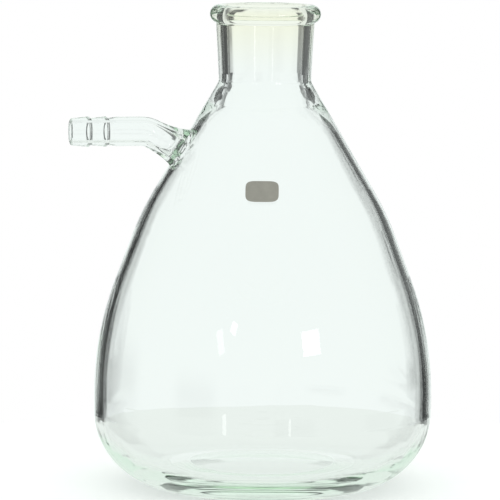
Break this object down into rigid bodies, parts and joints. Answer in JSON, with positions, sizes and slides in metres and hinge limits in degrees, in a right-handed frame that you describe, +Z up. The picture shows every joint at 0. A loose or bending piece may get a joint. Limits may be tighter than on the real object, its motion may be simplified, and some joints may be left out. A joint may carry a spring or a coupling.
{
  "type": "filter flask",
  "caption": "Heavy-walled conical glass flask with a bead-lipped stopper neck, a pushed-up base and a bent side arm with hose barbs, for vacuum filtration.",
  "frame": {"origin": "centre of the flat ring that the flask stands on, on the bench plane", "axes": "+Z up along the neck's axis; -X along the level part of the side arm, towards its hose end; the part is symmetric about the XZ plane"},
  "size_m": [0.1436, 0.1332, 0.1896],
  "materials": {
    "glass": "clear, smooth, fire-polished"
  },
  "bodies": {
    "root": {"flask": "glass"}
  },
  "joints": []
}
